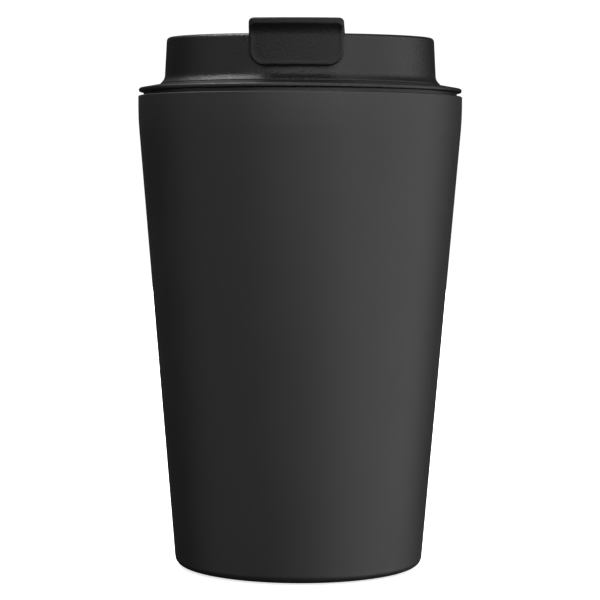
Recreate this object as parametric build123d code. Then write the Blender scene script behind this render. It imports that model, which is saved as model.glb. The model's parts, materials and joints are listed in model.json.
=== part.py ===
from build123d import *
import math
import os

# Insulated travel mug: a vacuum-walled steel tumbler with a press-in lid and a flip-up drinking flap.
# Millimetres, +Z up. The origin is at the centre of the foot, on the surface that the mug stands on.
# The drinking side faces -Y. Every round piece is a profile of (radius, height) points turned about Z.

# ---- driving dimensions: cup ----
FOOT_PROUD = 0.4            # how far the rubber foot stands below the steel
STEEL_BOTTOM = FOOT_PROUD
CONE_RADIUS = 33.08         # outer radius of the cone where it would meet the steel bottom
CONE_SLOPE = 0.0844         # gain in radius for each millimetre of height
MOUTH_RADIUS = 43.15
LIP_Z = 125.7
SHELL_WALL = 0.6
LINER_WALL = 0.5
VACUUM_GAP = 2.4
BOTTOM_CORNER = 2.4
MOUTH_BLEND = 94.0          # large radius that turns the cone into the straight mouth
LIP_ROUND = 0.42
LINER_FLOOR_Z = 6.0         # underside of the liner's floor
LINER_CORNER = 5.0
LEDGE_TOP_Z = 119.4         # where the straight mouth turns in to the liner's ledge
LEDGE_BOTTOM_Z = 117.7

# ---- driving dimensions: cup base ----
BASE_RIM_RADIUS = 29.0
BASE_PLATE = 0.6
BASE_PLATE_Z = 1.6          # underside of the welded base plate
DIMPLE_RADIUS = 3.2
DIMPLE_RISE = 0.9
EVACUATION_HOLE = 0.8
PAD_RADIUS = 27.9
TAPE_THICKNESS = 0.15
GETTER_RADIUS = 4.0
GETTER_THICKNESS = 1.2
GETTER_X = 13.0
STRAP_THICKNESS = 0.3
STRAP_WIDTH = 3.6
STRAP_LENGTH = 17.0
FOIL_THICKNESS = 0.15
FOIL_GAP = 0.05
FOIL_BOTTOM_Z = 14.0
FOIL_TOP_Z = 112.0

# ---- driving dimensions: lid ----
REVEAL = 1.0                # gap between the lip of the cup and the flange of the lid
FLANGE_RADIUS = 43.0
FLANGE_UNDER_Z = LIP_Z + REVEAL
FLANGE_EDGE_Z = 127.7
SEAT_Z = 128.7              # where the upper moulding sits on the lower one
CAP_FOOT_RADIUS = 37.3
CAP_FOOT_EDGE = 0.2
CAP_FOOT_RISE = 1.3         # the foot of the upper moulding climbs this far before the flare
NECK_FOOT_RADIUS = 36.13
NECK_TOP_RADIUS = 35.55
NECK_FLARE = 4.2
NECK_WALL = 1.95
RIM_Z = 141.25              # height of the rim at the middle of the lid
RIM_SLOPE = 0.0227          # the rim falls towards the drinking side
RIM_OUTER_ROUND = 1.35
RIM_INNER_ROUND = 0.5
DECK_Z = 135.7
DECK_THICKNESS = 1.8
SPIGOT_RADIUS = 36.3
SPIGOT_BOTTOM_Z = 126.2
COLLAR_RADIUS = 41.75
GROOVE_RADIUS = 38.5
GROOVE_TOP_Z = 125.0
GROOVE_BOTTOM_Z = 120.9
RETAINER_RADIUS = 40.5
RETAINER_BOTTOM_Z = 119.7
PLUG_RADIUS = 38.4
PLUG_BOTTOM_Z = 114.4
PLUG_FLOOR_Z = 116.4
LID_BORE = 36.4
SEAL_CLEARANCE = 0.2
FIN_RADIUS = 41.85
FIN_ROOT_RADIUS = 40.6
FIN_COUNT = 3

# ---- driving dimensions: drinking and vent passages ----
DRINK_Y = -25.0
DRINK_LENGTH = 14.0
DRINK_WIDTH = 7.0
VENT_Y = -9.0
VENT_RADIUS = 1.2
TUBE_WALL = 1.2
TUBE_LENGTH = DRINK_LENGTH + 2 * TUBE_WALL
TUBE_WIDTH = DRINK_WIDTH + 2 * TUBE_WALL
TUBE_TOP_Z = 132.7          # the gaskets fill the space between the tubes and the deck

# ---- driving dimensions: hinge and flap ----
HINGE_Y = 3.0
HINGE_Z = 139.9
PIN_RADIUS = 1.25
PIN_FIT = 0.05              # running clearance of the flap on its pin
LUG_BORE_FIT = 0.02
BARREL_RADIUS = 2.6
BARREL_HALF_WIDTH = 7.9
LUG_INNER_X = 8.2
LUG_OUTER_X = 11.5
PIN_HALF_LENGTH = 11.3
FLAP_WIDTH = 23.9
FLAP_TOP_Z = 144.15
FLAP_REAR_TOP_Z = 143.0
ARM_UNDER_Z = 141.15
ARM_REAR_Y = -1.6
TAB_PLAN_RADIUS = 60.0
TAB_LIP_Y = -39.0
TAB_FACE_Y = -38.2
TAB_INNER_Y = -36.7
TAB_BOTTOM_Z = 132.1
TAB_TOP_CORNER = 1.4
TAB_BOTTOM_CORNER = 4.0
TAB_SCOOP = 2.2             # hollow under the lip, where the fingertip goes
BOSS_BOTTOM_Z = 137.5
BOSS_TOP_Z = ARM_UNDER_Z + 0.5
BOSS_LENGTH = 12.0
BOSS_WIDTH = 5.4
VENT_BOSS_RADIUS = 1.4
STOPPER_LENGTH = 15.6
STOPPER_WIDTH = 8.6
STOPPER_NECK_LENGTH = 13.4
STOPPER_NECK_WIDTH = 6.4
STOPPER_TIP_LENGTH = 12.0
STOPPER_TIP_WIDTH = 5.0
VENT_STOPPER_RADIUS = 2.6
STOPPER_TOP_Z = 139.8
STOPPER_SEAT_Z = 135.9
STOPPER_TIP_Z = 133.5

RADIAL = Plane.XZ


def cone_radius(z, inset):
    """Radius of the outer cone at height z, moved inwards square to its surface by inset."""
    square = math.sqrt(1.0 + CONE_SLOPE * CONE_SLOPE)
    return CONE_RADIUS + CONE_SLOPE * (z - STEEL_BOTTOM) - inset * square


def turned(points, radii):
    """Turn a closed outline of (radius, height) points about Z, with a rounding for each corner."""
    outline = FilletPolyline(*points, radius=radii, close=True)
    return revolve(make_face(RADIAL * outline), Axis.Z)


def turned_from(corners):
    """Turn an outline given as (radius, height, rounding) corners."""
    points = [(radius, height) for radius, height, rounding in corners]
    return turned(points, [rounding for radius, height, rounding in corners])


def disc(radius, bottom, top, y=0.0):
    """A plain cylinder between two heights."""
    return extrude(Plane.XY.offset(bottom) * Pos(0, y) * Circle(radius), top - bottom)


def slot(length, width, bottom, top, y):
    """A bar with round ends, long in X, between two heights."""
    return extrude(Plane.XY.offset(bottom) * Pos(0, y) * SlotOverall(length, width), top - bottom)


def rod_x(radius, x_from, x_to):
    """A cylinder along X on the hinge axis."""
    return extrude(Plane.YZ.offset(x_from) * Pos(HINGE_Y, HINGE_Z) * Circle(radius), x_to - x_from)


# ---- cup ----
def make_outer_shell():
    shell_bottom = STEEL_BOTTOM
    inner_bottom = shell_bottom + SHELL_WALL
    inner_mouth = MOUTH_RADIUS - SHELL_WALL
    mouth_start = shell_bottom + (MOUTH_RADIUS - CONE_RADIUS) / CONE_SLOPE
    square = math.sqrt(1.0 + CONE_SLOPE * CONE_SLOPE)
    inner_start = shell_bottom + (inner_mouth - CONE_RADIUS + SHELL_WALL * square) / CONE_SLOPE
    return turned_from([
        (BASE_RIM_RADIUS, shell_bottom, 0),
        (CONE_RADIUS, shell_bottom, BOTTOM_CORNER),
        (MOUTH_RADIUS, mouth_start, MOUTH_BLEND),
        (MOUTH_RADIUS, LIP_Z, LIP_ROUND),
        (inner_mouth, LIP_Z, 0),
        (inner_mouth, inner_start, 0),
        (cone_radius(inner_bottom, SHELL_WALL), inner_bottom, BOTTOM_CORNER - SHELL_WALL),
        (BASE_RIM_RADIUS, inner_bottom, 0),
    ])


def make_inner_liner():
    outside = SHELL_WALL + VACUUM_GAP
    inside = outside + LINER_WALL
    floor_top = LINER_FLOOR_Z + LINER_WALL
    outer_mouth = MOUTH_RADIUS - SHELL_WALL
    inner_mouth = outer_mouth - LINER_WALL
    ledge_drop = 0.4
    return turned_from([
        (0, LINER_FLOOR_Z, 0),
        (cone_radius(LINER_FLOOR_Z, outside), LINER_FLOOR_Z, LINER_CORNER + LINER_WALL),
        (cone_radius(LEDGE_BOTTOM_Z - ledge_drop, outside), LEDGE_BOTTOM_Z - ledge_drop, 0.8),
        (outer_mouth, LEDGE_TOP_Z - ledge_drop, 1.5),
        (outer_mouth, LIP_Z, 0),
        (inner_mouth, LIP_Z, 0.35),
        (inner_mouth, LEDGE_TOP_Z, 1.0),
        (cone_radius(LEDGE_BOTTOM_Z, inside), LEDGE_BOTTOM_Z, 1.3),
        (cone_radius(floor_top, inside), floor_top, LINER_CORNER),
        (0, floor_top, 0),
    ])


def make_outer_base():
    rim_inner = BASE_RIM_RADIUS - BASE_PLATE
    plate_top = BASE_PLATE_Z + BASE_PLATE
    dimple_under = BASE_PLATE_Z + DIMPLE_RISE
    dimple_slant = 0.4
    return turned_from([
        (EVACUATION_HOLE, dimple_under, 0),
        (DIMPLE_RADIUS - dimple_slant, dimple_under, 0.2),
        (DIMPLE_RADIUS, BASE_PLATE_Z, 0.2),
        (rim_inner, BASE_PLATE_Z, 0.3),
        (rim_inner, STEEL_BOTTOM, 0),
        (BASE_RIM_RADIUS, STEEL_BOTTOM, 0),
        (BASE_RIM_RADIUS, plate_top, 0.8),
        (DIMPLE_RADIUS + BASE_PLATE, plate_top, 0.3),
        (DIMPLE_RADIUS + BASE_PLATE - dimple_slant, dimple_under + BASE_PLATE, 0.3),
        (EVACUATION_HOLE, dimple_under + BASE_PLATE, 0),
    ])


def make_vacuum_seal():
    dimple_under = BASE_PLATE_Z + DIMPLE_RISE
    bead = disc(DIMPLE_RADIUS - 0.7, dimple_under - 0.7, dimple_under)
    plug = disc(EVACUATION_HOLE, dimple_under, dimple_under + BASE_PLATE - 0.1)
    return bead + plug


def make_getter():
    return Pos(GETTER_X, 0) * disc(GETTER_RADIUS, LINER_FLOOR_Z - GETTER_THICKNESS, LINER_FLOOR_Z)


def make_getter_strap():
    floor = LINER_FLOOR_Z
    getter_under = floor - GETTER_THICKNESS
    half_bridge = GETTER_RADIUS + 0.3
    foot_end = STRAP_LENGTH / 2
    strap_outline = Polyline(
        (-foot_end, floor),
        (-half_bridge, floor),
        (-half_bridge, getter_under),
        (half_bridge, getter_under),
        (half_bridge, floor),
        (foot_end, floor),
        (foot_end, floor - STRAP_THICKNESS),
        (half_bridge + STRAP_THICKNESS, floor - STRAP_THICKNESS),
        (half_bridge + STRAP_THICKNESS, getter_under - STRAP_THICKNESS),
        (-half_bridge - STRAP_THICKNESS, getter_under - STRAP_THICKNESS),
        (-half_bridge - STRAP_THICKNESS, floor - STRAP_THICKNESS),
        (-foot_end, floor - STRAP_THICKNESS),
        close=True,
    )
    strap = extrude(make_face(Plane.YZ.offset(-STRAP_WIDTH / 2) * strap_outline), STRAP_WIDTH)
    return Pos(GETTER_X, 0) * strap


def make_heat_shield():
    inset = SHELL_WALL + VACUUM_GAP - FOIL_GAP
    return turned_from([
        (cone_radius(FOIL_BOTTOM_Z, inset), FOIL_BOTTOM_Z, 0),
        (cone_radius(FOIL_BOTTOM_Z, inset - FOIL_THICKNESS), FOIL_BOTTOM_Z, 0),
        (cone_radius(FOIL_TOP_Z, inset - FOIL_THICKNESS), FOIL_TOP_Z, 0),
        (cone_radius(FOIL_TOP_Z, inset), FOIL_TOP_Z, 0),
    ])


def make_pad_adhesive():
    outer = disc(PAD_RADIUS - 0.4, BASE_PLATE_Z - TAPE_THICKNESS, BASE_PLATE_Z)
    return outer - disc(DIMPLE_RADIUS + 1.3, 0, LIP_Z)


def make_base_pad():
    top = BASE_PLATE_Z - TAPE_THICKNESS
    groove_depth = 0.35
    groove_half = 0.5
    pad = turned_from([
        (0, 0, 0),
        (PAD_RADIUS, 0, 0.4),
        (PAD_RADIUS, top, 0.2),
        (0, top, 0),
    ])
    for radius in (9.0, 15.0, 21.0):
        ring = disc(radius + groove_half, 0, groove_depth) - disc(radius - groove_half, 0, groove_depth)
        pad = pad - ring
    return pad


# ---- seal ----
def make_lid_seal():
    inner = GROOVE_RADIUS + SEAL_CLEARANCE
    bottom = GROOVE_BOTTOM_Z + SEAL_CLEARANCE
    top = GROOVE_TOP_Z - SEAL_CLEARANCE
    seal = turned_from([
        (inner, bottom, 0.15),
        (FIN_ROOT_RADIUS, bottom, 0.15),
        (FIN_ROOT_RADIUS, top, 0.15),
        (inner, top, 0.15),
    ])
    pitch = (top - bottom) / FIN_COUNT
    for index in range(FIN_COUNT):
        root = bottom + pitch * index + 0.1
        fin = turned_from([
            (FIN_ROOT_RADIUS - 0.3, root, 0),
            (FIN_RADIUS, root + 0.55, 0),
            (FIN_RADIUS, root + 0.8, 0),
            (FIN_ROOT_RADIUS - 0.3, root + 0.8, 0),
        ])
        seal = seal + fin
    return seal


# ---- lid ----
def make_lid_base():
    body = turned_from([
        (0, PLUG_BOTTOM_Z, 0),
        (PLUG_RADIUS, PLUG_BOTTOM_Z, 1.5),
        (PLUG_RADIUS, RETAINER_BOTTOM_Z, 0.3),
        (RETAINER_RADIUS, RETAINER_BOTTOM_Z, 0.4),
        (RETAINER_RADIUS, GROOVE_BOTTOM_Z, 0.2),
        (GROOVE_RADIUS, GROOVE_BOTTOM_Z, 0),
        (GROOVE_RADIUS, GROOVE_TOP_Z, 0),
        (COLLAR_RADIUS, GROOVE_TOP_Z, 0.25),
        (COLLAR_RADIUS, FLANGE_UNDER_Z, 0.2),
        (FLANGE_RADIUS, FLANGE_UNDER_Z, 0.4),
        (FLANGE_RADIUS, FLANGE_EDGE_Z, 0.5),
        (CAP_FOOT_RADIUS, SEAT_Z, 0),
        (LID_BORE, SEAT_Z, 0),
        (LID_BORE, PLUG_FLOOR_Z, 1.0),
        (0, PLUG_FLOOR_Z, 0),
    ])
    inside_floor = PLUG_FLOOR_Z - 0.5
    body += slot(TUBE_LENGTH, TUBE_WIDTH, inside_floor, TUBE_TOP_Z, DRINK_Y)
    body += disc(VENT_RADIUS + TUBE_WALL, inside_floor, TUBE_TOP_Z, VENT_Y)
    body -= slot(DRINK_LENGTH, DRINK_WIDTH, PLUG_BOTTOM_Z - 1, TUBE_TOP_Z + 1, DRINK_Y)
    body -= disc(VENT_RADIUS, PLUG_BOTTOM_Z - 1, TUBE_TOP_Z + 1, VENT_Y)
    return body


def make_lid_cap():
    tall = RIM_Z + 6
    deck_under = DECK_Z - DECK_THICKNESS
    foot_top = SEAT_Z + CAP_FOOT_EDGE
    neck = turned_from([
        (0, deck_under, 0),
        (SPIGOT_RADIUS - NECK_WALL, deck_under, 1.0),
        (SPIGOT_RADIUS - NECK_WALL, SPIGOT_BOTTOM_Z, 0),
        (SPIGOT_RADIUS, SPIGOT_BOTTOM_Z, 0.3),
        (SPIGOT_RADIUS, SEAT_Z, 0),
        (CAP_FOOT_RADIUS, SEAT_Z, 0),
        (CAP_FOOT_RADIUS, foot_top, 0),
        (NECK_FOOT_RADIUS, foot_top + CAP_FOOT_RISE, NECK_FLARE),
        (NECK_TOP_RADIUS, tall, 0),
        (NECK_TOP_RADIUS - NECK_WALL, tall, 0),
        (NECK_FOOT_RADIUS - NECK_WALL, DECK_Z, 1.5),
        (0, DECK_Z, 0),
    ])
    rim_angle = math.degrees(math.atan(RIM_SLOPE))
    above_rim = Pos(0, 0, RIM_Z) * Rot(rim_angle, 0, 0) * Pos(0, 0, 10) * Box(120, 120, 20)
    neck = neck - above_rim
    neck = fillet(rim_loops(neck)[-1], RIM_OUTER_ROUND)
    neck = fillet(rim_loops(neck)[0], RIM_INNER_ROUND)

    neck -= slot(DRINK_LENGTH, DRINK_WIDTH, deck_under - 1, RIM_Z, DRINK_Y)
    neck -= disc(VENT_RADIUS, deck_under - 1, RIM_Z, VENT_Y)
    neck -= vent_countersink()

    lug_outline = make_face(Plane.YZ * lug_profile())
    for start in (LUG_INNER_X, -LUG_OUTER_X):
        neck += Pos(start, 0, 0) * extrude(lug_outline, LUG_OUTER_X - LUG_INNER_X)
    neck -= rod_x(PIN_RADIUS + LUG_BORE_FIT, -LUG_OUTER_X - 1, LUG_OUTER_X + 1)
    return neck


def rim_loops(neck):
    """The long edges that run round the rim, shortest first."""
    return neck.edges().filter_by(
        lambda edge: edge.center().Z > RIM_Z - 1 and edge.length > 5 * NECK_TOP_RADIUS
    ).sort_by(Edge.length)


def vent_countersink():
    """The conical seat of the vent stopper, sunk into the deck."""
    depth = 0.7
    cone = Cone(VENT_RADIUS, VENT_RADIUS + depth, depth)
    return Pos(0, VENT_Y, DECK_Z - depth / 2) * cone


def lug_profile():
    """Side outline of a hinge lug in (y, z): a round head on a foot that spreads to the deck."""
    foot = 1.1
    buried = DECK_Z - 0.5
    left = HINGE_Y - BARREL_RADIUS
    right = HINGE_Y + BARREL_RADIUS
    return Wire([
        Line((left, HINGE_Z), (left - foot * 0.2, DECK_Z + 1.2)),
        Line((left - foot * 0.2, DECK_Z + 1.2), (left - foot, buried)),
        Line((left - foot, buried), (right + foot, buried)),
        Line((right + foot, buried), (right + foot * 0.2, DECK_Z + 1.2)),
        Line((right + foot * 0.2, DECK_Z + 1.2), (right, HINGE_Z)),
        ThreePointArc((right, HINGE_Z), (HINGE_Y, HINGE_Z + BARREL_RADIUS), (left, HINGE_Z)),
    ])


def make_drink_passage_seal():
    deck_under = DECK_Z - DECK_THICKNESS
    outer = slot(TUBE_LENGTH, TUBE_WIDTH, TUBE_TOP_Z, deck_under, DRINK_Y)
    return outer - slot(DRINK_LENGTH, DRINK_WIDTH, TUBE_TOP_Z - 1, deck_under + 1, DRINK_Y)


def make_vent_passage_seal():
    deck_under = DECK_Z - DECK_THICKNESS
    outer = disc(VENT_RADIUS + TUBE_WALL, TUBE_TOP_Z, deck_under, VENT_Y)
    return outer - disc(VENT_RADIUS, TUBE_TOP_Z - 1, deck_under + 1, VENT_Y)


def make_hinge_pin():
    pin = rod_x(PIN_RADIUS, -PIN_HALF_LENGTH, PIN_HALF_LENGTH)
    return chamfer(pin.edges().filter_by(GeomType.CIRCLE), 0.25)


# ---- flap ----
def flap_side_face():
    """Side outline of the arm and its hooked finger tab, in (y, z)."""
    arm = FilletPolyline(
        (ARM_REAR_Y, ARM_UNDER_Z),
        (TAB_INNER_Y, ARM_UNDER_Z),
        (TAB_INNER_Y, TAB_BOTTOM_Z),
        (TAB_FACE_Y, TAB_BOTTOM_Z),
        (TAB_FACE_Y + 0.1, 141.0),
        (TAB_LIP_Y, 142.75),
        (TAB_LIP_Y, FLAP_TOP_Z),
        (ARM_REAR_Y, FLAP_REAR_TOP_Z),
        radius=[0, 0.8, 0.3, 0.6, TAB_SCOOP, 0.45, 0.8, 0],
        close=True,
    )
    return make_face(Plane.YZ * arm)


def flap_front_outline():
    """Front outline of the flap in (x, z), with large corners below and small ones above."""
    half = FLAP_WIDTH / 2
    return FilletPolyline(
        (-half, TAB_BOTTOM_Z),
        (half, TAB_BOTTOM_Z),
        (half, FLAP_TOP_Z),
        (-half, FLAP_TOP_Z),
        radius=[TAB_BOTTOM_CORNER, TAB_BOTTOM_CORNER, TAB_TOP_CORNER, TAB_TOP_CORNER],
        close=True,
    )


def make_flap():
    plan_centre = TAB_LIP_Y + TAB_PLAN_RADIUS
    sweep = math.degrees(math.atan(BARREL_HALF_WIDTH / (plan_centre - ARM_REAR_Y)))
    side = flap_side_face()
    plan_axis = Axis((0, plan_centre, 0), (0, 0, 1))
    swept = revolve(side.rotate(plan_axis, -sweep), plan_axis, 2 * sweep)
    front = extrude(make_face(Plane.XZ.offset(-60) * flap_front_outline()), 120)
    hook = swept & front
    rear_limit = Pos(0, ARM_REAR_Y + 50, 0) * Box(200, 100, 400)
    hook = hook - rear_limit

    root_top = FLAP_REAR_TOP_Z
    root_outline = Wire([
        Line((ARM_REAR_Y - 2, ARM_UNDER_Z), (HINGE_Y, HINGE_Z - BARREL_RADIUS)),
        ThreePointArc(
            (HINGE_Y, HINGE_Z - BARREL_RADIUS),
            (HINGE_Y + BARREL_RADIUS, HINGE_Z),
            (HINGE_Y, HINGE_Z + BARREL_RADIUS),
        ),
        Line((HINGE_Y, HINGE_Z + BARREL_RADIUS), (ARM_REAR_Y - 2, root_top)),
        Line((ARM_REAR_Y - 2, root_top), (ARM_REAR_Y - 2, ARM_UNDER_Z)),
    ])
    root = extrude(make_face(Plane.YZ.offset(-BARREL_HALF_WIDTH) * root_outline), 2 * BARREL_HALF_WIDTH)
    flap = hook + root
    flap += slot(BOSS_LENGTH, BOSS_WIDTH, BOSS_BOTTOM_Z, BOSS_TOP_Z, DRINK_Y)
    flap += disc(VENT_BOSS_RADIUS, BOSS_BOTTOM_Z, BOSS_TOP_Z, VENT_Y)
    flap -= rod_x(PIN_RADIUS + PIN_FIT, -LUG_OUTER_X, LUG_OUTER_X)
    return flap


def make_drink_stopper():
    seat = slot(STOPPER_LENGTH, STOPPER_WIDTH, STOPPER_SEAT_Z, STOPPER_TOP_Z, DRINK_Y)
    neck = SlotOverall(STOPPER_NECK_LENGTH, STOPPER_NECK_WIDTH)
    tip = SlotOverall(STOPPER_TIP_LENGTH, STOPPER_TIP_WIDTH)
    plug = loft([
        Plane.XY.offset(STOPPER_TIP_Z) * Pos(0, DRINK_Y) * tip,
        Plane.XY.offset(STOPPER_SEAT_Z) * Pos(0, DRINK_Y) * neck,
    ])
    stopper = seat + plug
    return stopper - slot(BOSS_LENGTH, BOSS_WIDTH, BOSS_BOTTOM_Z, STOPPER_TOP_Z + 1, DRINK_Y)


def make_vent_stopper():
    seat = disc(VENT_STOPPER_RADIUS, STOPPER_SEAT_Z, STOPPER_TOP_Z, VENT_Y)
    tip_height = 0.7
    tip_radius = 0.5
    tip_place = Pos(0, VENT_Y, STOPPER_SEAT_Z - tip_height / 2)
    tip = tip_place * Cone(tip_radius, VENT_RADIUS, tip_height)
    return seat + tip - disc(VENT_BOSS_RADIUS, BOSS_BOTTOM_Z, STOPPER_TOP_Z + 1, VENT_Y)


if __name__ == "__main__":
    os.makedirs("parts", exist_ok=True)
    pieces = {
        "outer_shell": make_outer_shell,
        "inner_liner": make_inner_liner,
        "outer_base": make_outer_base,
        "vacuum_seal": make_vacuum_seal,
        "getter": make_getter,
        "getter_strap": make_getter_strap,
        "heat_shield": make_heat_shield,
        "pad_adhesive": make_pad_adhesive,
        "base_pad": make_base_pad,
        "lid_seal": make_lid_seal,
        "lid_base": make_lid_base,
        "lid_cap": make_lid_cap,
        "drink_passage_seal": make_drink_passage_seal,
        "vent_passage_seal": make_vent_passage_seal,
        "hinge_pin": make_hinge_pin,
        "flap": make_flap,
        "drink_stopper": make_drink_stopper,
        "vent_stopper": make_vent_stopper,
    }
    for name, make in pieces.items():
        piece = make()
        print(name, round(piece.volume, 1), piece.is_valid)
        export_step(piece, f"parts/{name}.step")
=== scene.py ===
import json
import math

import bmesh
import bpy
from mathutils import Matrix, Vector


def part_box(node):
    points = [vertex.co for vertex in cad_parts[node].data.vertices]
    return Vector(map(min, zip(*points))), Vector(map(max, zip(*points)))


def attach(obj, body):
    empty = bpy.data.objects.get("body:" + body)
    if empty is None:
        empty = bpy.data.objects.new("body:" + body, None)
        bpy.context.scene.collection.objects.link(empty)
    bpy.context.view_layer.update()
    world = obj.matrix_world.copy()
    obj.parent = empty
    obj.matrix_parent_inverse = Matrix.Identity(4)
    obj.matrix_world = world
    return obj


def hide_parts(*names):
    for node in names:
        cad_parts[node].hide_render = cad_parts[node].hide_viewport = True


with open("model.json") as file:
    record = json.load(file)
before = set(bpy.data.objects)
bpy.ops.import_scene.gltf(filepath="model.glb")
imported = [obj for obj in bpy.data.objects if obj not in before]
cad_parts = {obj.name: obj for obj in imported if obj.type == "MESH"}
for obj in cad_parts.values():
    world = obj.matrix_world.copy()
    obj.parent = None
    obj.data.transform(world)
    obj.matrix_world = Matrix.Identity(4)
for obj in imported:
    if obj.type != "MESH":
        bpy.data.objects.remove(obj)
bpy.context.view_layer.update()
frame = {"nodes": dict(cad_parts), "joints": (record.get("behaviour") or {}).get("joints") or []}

# Looks of the insulated travel mug. Blender works in metres; the shapes here are given in
# millimetres, like the CAD, and turned into metres by MM. The drinking side faces -Y.
# An outline is a list of corners, each with a radius, a height and the rounding of the corner.

MM = 0.001
ROUND_SEGMENTS = 224
ARC_STEP = math.radians(10.0)
SMOOTH_ANGLE = math.radians(32.0)
SAME_PLACE = 5e-7              # metres; vertices nearer than this are joined after the cuts
ON_AXIS = 1e-6                 # mm; a turned point nearer to the axis than this is one vertex
WORN_BELOW = 3                 # mm; outer corners with a smaller rounding are worn lighter


# ---- places read from the frame ----
def box_mm(node):
    low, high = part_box(node)
    return low / MM, high / MM


shell_low, shell_high = box_mm("outer_shell")
liner_low = box_mm("inner_liner")[0]
pad_high = box_mm("base_pad")[1]
seal_low, seal_high = box_mm("lid_seal")
base_low, base_high = box_mm("lid_base")
cap_low, cap_high = box_mm("lid_cap")
drink_gasket_low, drink_gasket_high = box_mm("drink_passage_seal")
vent_gasket_low, vent_gasket_high = box_mm("vent_passage_seal")
pin_high = box_mm("hinge_pin")[1]
flap_low, flap_high = box_mm("flap")
drink_stopper_low, drink_stopper_high = box_mm("drink_stopper")
vent_stopper_low, vent_stopper_high = box_mm("vent_stopper")
joint_by_name = {joint["name"]: joint for joint in frame["joints"]}
hinge_place = Vector(joint_by_name["flap_hinge"]["pos_m"]) / MM

# cup
STEEL_BOTTOM = shell_low.z
LIP_Z = shell_high.z
MOUTH_RADIUS = shell_high.x
CONE_RADIUS = 33.08
CONE_SLOPE = 0.0844
CONE_SLANT = math.sqrt(1.0 + CONE_SLOPE ** 2)
SHELL_WALL = 0.6
LINER_WALL = 0.5
VACUUM_GAP = 2.4
BOTTOM_CORNER = 2.4
MOUTH_BLEND = 94.0
LIP_ROUND = 0.42
BASE_RIM_RADIUS = 29.0
LEDGE_TOP_Z = 119.4
LEDGE_BOTTOM_Z = 117.7

# lid
SEAT_Z = LIP_Z + 3.0
FLANGE_RADIUS = base_high.x
FLANGE_UNDER_Z = LIP_Z + 1.0
FLANGE_EDGE_Z = LIP_Z + 2.0
PLUG_BOTTOM_Z = base_low.z
PLUG_RADIUS = 38.4
PLUG_FLOOR_Z = PLUG_BOTTOM_Z + 2.0
PLUG_DISH = 0.5                # how far the middle of the plug's underside is drawn in
LID_BORE = 36.4
GROOVE_RADIUS = 38.5
GROOVE_GAP = 0.2               # between the silicone ring and each side of its groove
RETAINER_RADIUS = 40.5
RETAINER_BOTTOM_Z = 119.7
COLLAR_RADIUS = 41.75
CAP_FOOT_RADIUS = cap_high.x
CAP_FOOT_EDGE = 0.2
CAP_FOOT_RISE = 1.3
NECK_FOOT_RADIUS = 36.13
NECK_TOP_RADIUS = 35.55
NECK_FLARE = 4.2
NECK_WALL = 1.95
RIM_Z = 141.25
RIM_SLOPE = 0.0227
SPIGOT_BOTTOM_Z = cap_low.z
SPIGOT_RADIUS = 36.3
DECK_UNDER_Z = drink_gasket_high.z
DECK_Z = DECK_UNDER_Z + 1.8

# passages: a slot is given by the half distance between its two round ends and by their radius
DRINK_Y = (drink_gasket_low.y + drink_gasket_high.y) / 2
DRINK_REACH = 3.5
DRINK_RADIUS = 3.5
DRINK_TUBE_RADIUS = (drink_gasket_high.y - drink_gasket_low.y) / 2
VENT_Y = (vent_gasket_low.y + vent_gasket_high.y) / 2
VENT_RADIUS = 1.2
VENT_TUBE_RADIUS = vent_gasket_high.x
TUBE_TOP_Z = drink_gasket_low.z
BURIED = 0.5                   # how deep a joined shape reaches into the one that carries it

# hinge and flap
HINGE_Y = hinge_place.y
HINGE_Z = hinge_place.z
BARREL_RADIUS = flap_high.y - HINGE_Y
BARREL_HALF_WIDTH = 7.9
LUG_INNER_X = 8.2
LUG_OUTER_X = 11.5
PIN_RADIUS = pin_high.z - HINGE_Z
PIN_FIT = 0.05                 # running clearance of the flap on its pin
LUG_BORE_FIT = 0.02
FLAP_HALF_WIDTH = flap_high.x
FLAP_TOP_Z = flap_high.z
FLAP_REAR_TOP_Z = FLAP_TOP_Z - 1.15
ARM_UNDER_Z = 141.15
ARM_BEND_Y = HINGE_Y - 5.0
ARM_TAPER = 6.6                # length over which the arm thins down from its barrel
ARM_SIDE_ROUND = 1.3
WIDEN_START_Y = HINGE_Y - 3.2  # the arm widens from here
WIDEN_END_Y = -14.0            # to here
TAB_LIP_Y = flap_low.y
TAB_BOTTOM_Z = flap_low.z
TAB_INNER_Y = TAB_LIP_Y + 2.3
TAB_INNER_CORNER = 0.8
TAB_BOTTOM_CORNER = 4.0
TAB_EDGE = 0.6
TAB_SIDE_ROUND = 0.7
INSIDE_ROUND = 0.45            # of the inner edges of arm and tab
TAB_PLAN_RADIUS = 60.0         # the tab follows the neck in plan
PLAN_START_Y = -6.0            # the arm is straight across up to here
PLAN_END_Y = -20.0             # and has the tab's curve from here
BORDER_RISE = 0.14
BORDER_START = 0.6             # distance from the tab's outline where the border begins to fall
BORDER_END = 1.5               # and where it has come down to the face inside it
SCOOP_START_Z = FLAP_TOP_Z - 1.25
SCOOP_EDGE_RADIUS = 0.8
SCOOP_RADIUS = 4.2
SCOOP_TURN = math.radians(40.0)

# bosses under the arm, and the stoppers on them
DRINK_BOSS_RADIUS = 2.7
DRINK_BOSS_REACH = 3.3
VENT_BOSS_RADIUS = 1.4
BOSS_BOTTOM_Z = 137.5
STOPPER_FIT = 0.02             # gap between a boss and the stopper round it
STOPPER_DEPTH = 2.3            # how far a boss reaches into its stopper
STOPPER_SEAT_Z = DECK_Z + 0.2


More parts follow.
